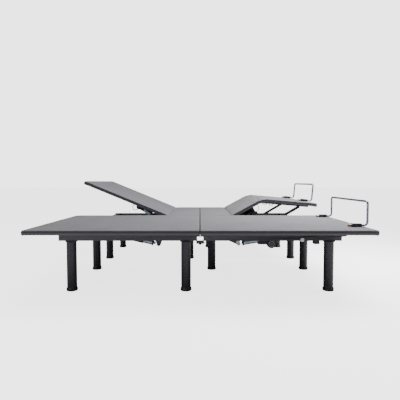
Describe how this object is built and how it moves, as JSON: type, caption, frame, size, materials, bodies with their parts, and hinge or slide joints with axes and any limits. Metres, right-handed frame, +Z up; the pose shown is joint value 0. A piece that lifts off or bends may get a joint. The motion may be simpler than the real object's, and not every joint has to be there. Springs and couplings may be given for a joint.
{
  "type": "adjustable bed base",
  "caption": "Twin pair of powered adjustable bed bases with upholstered folding deck panels, tube frames, round legs and foot retainer bars.",
  "frame": {"origin": "on the floor, at the centre of the pair, between the two bases", "axes": "+Z up, +X towards the foot end, -Y side is the near base that lies flat, +Y side is the far base that is raised"},
  "size_m": [2.03, 1.925, 0.674],
  "materials": {
    "deck_fabric": "grey woven upholstery over a padded board",
    "frame_paint": "dark grey powder coat, satin",
    "leg_plastic": "black, glossy",
    "motor_plastic": "black moulded housing",
    "rod_steel": "ground steel",
    "retainer_chrome": "bright plated"
  },
  "bodies": {
    "frame": {"near_head_frame": "frame_paint", "near_foot_frame": "frame_paint", "near_leg_head_near": "leg_plastic", "near_leg_head_far": "leg_plastic", "near_leg_mid_near": "leg_plastic", "near_leg_mid_far": "leg_plastic", "near_leg_foot_near": "leg_plastic", "near_leg_foot_far": "leg_plastic", "near_joining_bracket_near": "frame_paint", "near_joining_bracket_far": "frame_paint", "near_control_box": "motor_plastic", "near_seat_deck_head": "deck_fabric", "near_seat_deck_foot": "deck_fabric", "far_head_frame": "frame_paint", "far_foot_frame": "frame_paint", "far_leg_head_near": "leg_plastic", "far_leg_head_far": "leg_plastic", "far_leg_mid_near": "leg_plastic", "far_leg_mid_far": "leg_plastic", "far_leg_foot_near": "leg_plastic", "far_leg_foot_far": "leg_plastic", "far_joining_bracket_near": "frame_paint", "far_joining_bracket_far": "frame_paint", "far_control_box": "motor_plastic", "far_seat_deck_head": "deck_fabric", "far_seat_deck_foot": "deck_fabric", "link_bar_head": "frame_paint", "link_bar_foot": "frame_paint"},
    "near_back": {"near_back_deck": "deck_fabric", "near_back_lift_frame": "frame_paint"},
    "near_back_motor": {"near_back_motor": "motor_plastic"},
    "near_back_rod": {"near_back_push_rod": "rod_steel"},
    "near_thigh": {"near_thigh_deck": "deck_fabric", "near_thigh_lift_frame": "frame_paint"},
    "near_leg_motor": {"near_leg_motor": "motor_plastic"},
    "near_leg_rod": {"near_leg_push_rod": "rod_steel"},
    "near_calf": {"near_calf_deck": "deck_fabric", "near_calf_lift_frame": "frame_paint", "near_retainer_socket_near": "motor_plastic", "near_retainer_socket_far": "motor_plastic"},
    "near_retainer": {"near_retainer_bar": "retainer_chrome"},
    "near_struts": {"near_strut_near": "frame_paint", "near_strut_far": "frame_paint"},
    "far_back": {"far_back_deck": "deck_fabric", "far_back_lift_frame": "frame_paint"},
    "far_back_motor": {"far_back_motor": "motor_plastic"},
    "far_back_rod": {"far_back_push_rod": "rod_steel"},
    "far_thigh": {"far_thigh_deck": "deck_fabric", "far_thigh_lift_frame": "frame_paint"},
    "far_leg_motor": {"far_leg_motor": "motor_plastic"},
    "far_leg_rod": {"far_leg_push_rod": "rod_steel"},
    "far_calf": {"far_calf_deck": "deck_fabric", "far_calf_lift_frame": "frame_paint", "far_retainer_socket_near": "motor_plastic", "far_retainer_socket_far": "motor_plastic"},
    "far_retainer": {"far_retainer_bar": "retainer_chrome"},
    "far_struts": {"far_strut_near": "frame_paint", "far_strut_far": "frame_paint"}
  },
  "joints": [
    {"name": "near_back_lift", "type": "hinge", "parent": "frame", "child": "near_back", "pos_m": [-0.265, -0.485, 0.356], "axis": [0, 1, 0], "range_deg": [0, 60]},
    {"name": "near_thigh_lift", "type": "hinge", "parent": "frame", "child": "near_thigh", "pos_m": [0.265, -0.485, 0.356], "axis": [0, -1, 0], "range_deg": [0, 35]},
    {"name": "near_back_motor_pivot", "type": "hinge", "parent": "near_back", "child": "near_back_motor", "pos_m": [-0.568, -0.485, 0.308], "axis": [0, 1, 0], "range_deg": [-8.9, 0.5]},
    {"name": "near_back_rod_slide", "type": "slide", "parent": "near_back_motor", "child": "near_back_rod", "axis": [0.9727, 0, -0.2321], "range_m": [-0.001, 0.10886]},
    {"name": "near_leg_motor_pivot", "type": "hinge", "parent": "near_thigh", "child": "near_leg_motor", "pos_m": [0.488, -0.485, 0.28], "axis": [0, 1, 0], "range_deg": [-0.5, 6.4]},
    {"name": "near_leg_rod_slide", "type": "slide", "parent": "near_leg_motor", "child": "near_leg_rod", "axis": [-0.9869, 0, -0.1616], "range_m": [-0.001, 0.06386]},
    {"name": "near_knee", "type": "hinge", "parent": "near_thigh", "child": "near_calf", "pos_m": [0.556, -0.485, 0.387], "axis": [0, 1, 0], "range_deg": [-0.5, 41.52]},
    {"name": "near_strut_pivot", "type": "hinge", "parent": "frame", "child": "near_struts", "pos_m": [0.616, -0.485, 0.315], "axis": [0, -1, 0], "range_deg": [-0.5, 29.02]},
    {"name": "near_retainer_slide", "type": "slide", "parent": "near_calf", "child": "near_retainer", "axis": [1, 0, 0], "range_m": [0, 0.075]},
    {"name": "far_back_lift", "type": "hinge", "parent": "frame", "child": "far_back", "pos_m": [-0.265, 0.485, 0.356], "axis": [0, 1, 0], "range_deg": [-22.4, 37.6]},
    {"name": "far_thigh_lift", "type": "hinge", "parent": "frame", "child": "far_thigh", "pos_m": [0.265, 0.485, 0.356], "axis": [0, -1, 0], "range_deg": [-28.5, 6.5]},
    {"name": "far_back_motor_pivot", "type": "hinge", "parent": "far_back", "child": "far_back_motor", "pos_m": [-0.56343, 0.485, 0.42709], "axis": [0, 1, 0], "range_deg": [-5.76, 3.64]},
    {"name": "far_back_rod_slide", "type": "slide", "parent": "far_back_motor", "child": "far_back_rod", "axis": [0.8417, 0, -0.54], "range_m": [-0.04127, 0.06859]},
    {"name": "far_leg_motor_pivot", "type": "hinge", "parent": "far_thigh", "child": "far_leg_motor", "pos_m": [0.49724, 0.485, 0.39562], "axis": [0, 1, 0], "range_deg": [-5.3, 1.59]},
    {"name": "far_leg_rod_slide", "type": "slide", "parent": "far_leg_motor", "child": "far_leg_rod", "axis": [-0.8387, 0, -0.5446], "range_m": [-0.05218, 0.01267]},
    {"name": "far_knee", "type": "hinge", "parent": "far_thigh", "child": "far_calf", "pos_m": [0.50594, 0.485, 0.5221], "axis": [0, 1, 0], "range_deg": [-33.9, 8.12]},
    {"name": "far_strut_pivot", "type": "hinge", "parent": "frame", "child": "far_struts", "pos_m": [0.616, 0.485, 0.315], "axis": [0, -1, 0], "range_deg": [-23.73, 5.8]},
    {"name": "far_retainer_slide", "type": "slide", "parent": "far_calf", "child": "far_retainer", "axis": [0.9963, 0, -0.0855], "range_m": [0, 0.075]}
  ],
  "couplings": [
    {"joint": "near_back_motor_pivot", "follows": "near_back_lift", "ratio": -0.14},
    {"joint": "near_back_rod_slide", "follows": "near_back_lift", "m_per_rad": 0.103},
    {"joint": "near_leg_motor_pivot", "follows": "near_thigh_lift", "ratio": 0.1685},
    {"joint": "near_leg_rod_slide", "follows": "near_thigh_lift", "m_per_rad": 0.1029},
    {"joint": "near_knee", "follows": "near_thigh_lift", "ratio": 1.172},
    {"joint": "near_strut_pivot", "follows": "near_thigh_lift", "ratio": 0.815},
    {"joint": "far_back_motor_pivot", "follows": "far_back_lift", "ratio": -0.14},
    {"joint": "far_back_rod_slide", "follows": "far_back_lift", "m_per_rad": 0.103},
    {"joint": "far_leg_motor_pivot", "follows": "far_thigh_lift", "ratio": 0.1685},
    {"joint": "far_leg_rod_slide", "follows": "far_thigh_lift", "m_per_rad": 0.1029},
    {"joint": "far_knee", "follows": "far_thigh_lift", "ratio": 1.172},
    {"joint": "far_strut_pivot", "follows": "far_thigh_lift", "ratio": 0.815}
  ]
}
